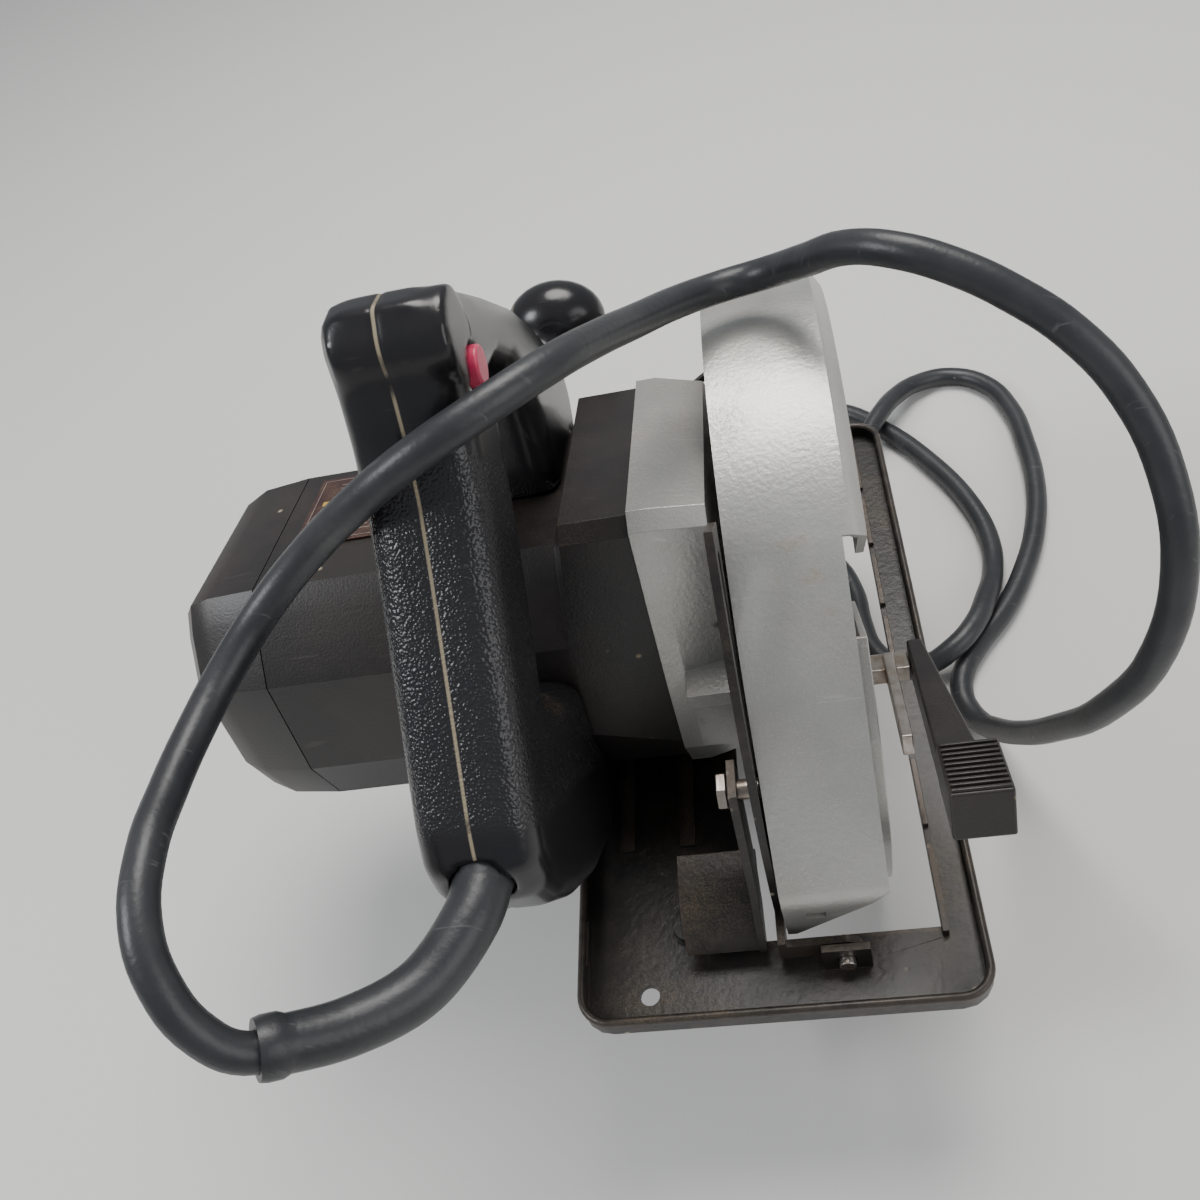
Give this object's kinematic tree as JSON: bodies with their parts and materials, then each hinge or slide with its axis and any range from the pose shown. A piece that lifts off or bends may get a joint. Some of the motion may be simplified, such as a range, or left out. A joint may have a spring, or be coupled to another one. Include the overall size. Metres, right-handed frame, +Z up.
{
  "type": "circular saw",
  "caption": "Corded circular saw with a tilting sole plate, silver blade guards, black side-mounted motor, rear D-shaped handle with trigger and lock-off button, and a loose rubber mains lead.",
  "frame": {"origin": "underside of the sole plate (z = 0), at the middle of the plate's wide left part in x and under the arbor axis in y", "axes": "+Z up out of the sole plate, +Y the cutting direction towards the front, +X towards the blade side, right-handed"},
  "size_m": [0.304, 0.3986, 0.2711],
  "materials": {
    "silver_casting": "satin silver paint over cast and pressed metal, with metallic flake, rust specks and a brown stain",
    "black_steel": "worn black paint on pressed steel, dusty, with brown wear",
    "bright_steel": "plain worn steel",
    "blade_steel": "ground steel",
    "dark_iron": "dark steel and iron",
    "copper": "copper and brass",
    "carbon": "matte carbon",
    "handle_plastic": "glossy black plastic with a pebbled grip",
    "housing_plastic": "satin black plastic, dusty",
    "red_plastic": "smooth red-pink plastic",
    "label_film": "dark printed film with blank bars",
    "lead_rubber": "dark grey rubber sheath",
    "plug_brass": "plain brass"
  },
  "bodies": {
    "sole_plate": {"shoe": "black_steel", "tilt_quadrant": "black_steel", "rear_tilt_pin": "bright_steel"},
    "tilt_frame": {"tilt_bracket": "black_steel", "height_hinge_pin": "bright_steel", "height_quadrant": "black_steel"},
    "tilt_lock_knob": {"tilt_knob": "handle_plastic"},
    "saw_body": {"upper_guard": "silver_casting", "gear_case": "silver_casting", "motor_housing": "housing_plastic", "end_cap": "housing_plastic", "rating_label": "label_film", "handle_left_half": "handle_plastic", "handle_right_half": "handle_plastic", "handle_screw_1": "bright_steel", "handle_screw_2": "bright_steel", "handle_screw_3": "bright_steel", "handle_screw_4": "bright_steel", "switch_body": "housing_plastic", "trigger_spring": "bright_steel", "front_knob": "handle_plastic", "height_lock_bolt": "bright_steel", "arbor_bearing": "bright_steel", "front_bearing": "bright_steel", "rear_bearing": "bright_steel", "field_stator": "dark_iron", "brush_front": "carbon", "brush_rear": "carbon", "brush_holder_front": "copper", "brush_holder_rear": "copper", "lower_guard_spring": "bright_steel", "strain_relief": "lead_rubber", "lead_raised": "lead_rubber", "lead_on_floor": "lead_rubber", "lead_return": "lead_rubber", "lead_coil": "lead_rubber", "plug_body": "lead_rubber", "plug_blade_a": "plug_brass", "plug_blade_b": "plug_brass"},
    "height_lever": {"height_lock_lever": "black_steel"},
    "lower_guard_body": {"lower_guard": "silver_casting", "lift_lever_bracket": "bright_steel", "lift_lever": "housing_plastic"},
    "blade_spindle": {"blade": "blade_steel", "arbor_shaft": "bright_steel", "arbor_gear": "dark_iron", "inner_flange": "dark_iron", "outer_flange": "dark_iron", "blade_bolt": "bright_steel"},
    "armature": {"armature_shaft": "bright_steel", "armature_core": "dark_iron", "commutator": "copper", "cooling_fan": "housing_plastic"},
    "trigger_body": {"trigger": "handle_plastic"},
    "lock_off": {"lock_off_button": "red_plastic"}
  },
  "joints": [
    {"name": "bevel_tilt", "type": "hinge", "parent": "sole_plate", "child": "tilt_frame", "pos_m": [0.054, 0, 0.008], "axis": [0, 1, 0], "range_deg": [0, 45]},
    {"name": "tilt_knob_turn", "type": "hinge", "parent": "tilt_frame", "child": "tilt_lock_knob", "pos_m": [0.01264, 0.111, 0.01529], "axis": [0, 1, 0], "range_deg": [0, 120]},
    {"name": "cut_height", "type": "hinge", "parent": "tilt_frame", "child": "saw_body", "pos_m": [0.022, 0.088, 0.013], "axis": [-1, 0, 0], "range_deg": [0, 20]},
    {"name": "height_lever_swing", "type": "hinge", "parent": "saw_body", "child": "height_lever", "pos_m": [0.0304, -0.097, 0.061], "axis": [-1, 0, 0], "range_deg": [0, 50]},
    {"name": "lower_guard_swing", "type": "hinge", "parent": "saw_body", "child": "lower_guard_body", "pos_m": [0.044, 0, 0.03], "axis": [-1, 0, 0], "range_deg": [0, 100], "stiffness_Nm_per_rad": 0.25, "springref_deg": -91.67},
    {"name": "armature_spin", "type": "hinge", "parent": "saw_body", "child": "armature", "pos_m": [-0.04, -0.0145, 0.0565], "axis": [1, 0, 0], "continuous": true},
    {"name": "blade_spin", "type": "hinge", "parent": "saw_body", "child": "blade_spindle", "pos_m": [0.054, 0, 0.03], "axis": [1, 0, 0], "continuous": true},
    {"name": "trigger_pull", "type": "hinge", "parent": "saw_body", "child": "trigger_body", "pos_m": [-0.026, -0.0453, 0.1488], "axis": [-1, 0, 0], "range_deg": [0, 10], "stiffness_Nm_per_rad": 0.6, "springref_deg": -8.59, "deforming": ["trigger_spring"]},
    {"name": "lock_off_press", "type": "slide", "parent": "saw_body", "child": "lock_off", "axis": [-1, 0, 0], "range_m": [0, 0.003], "stiffness_N_per_m": 300, "springref_m": -0.002}
  ],
  "couplings": [
    {"joint": "armature_spin", "follows": "blade_spin", "ratio": -4.2222}
  ]
}
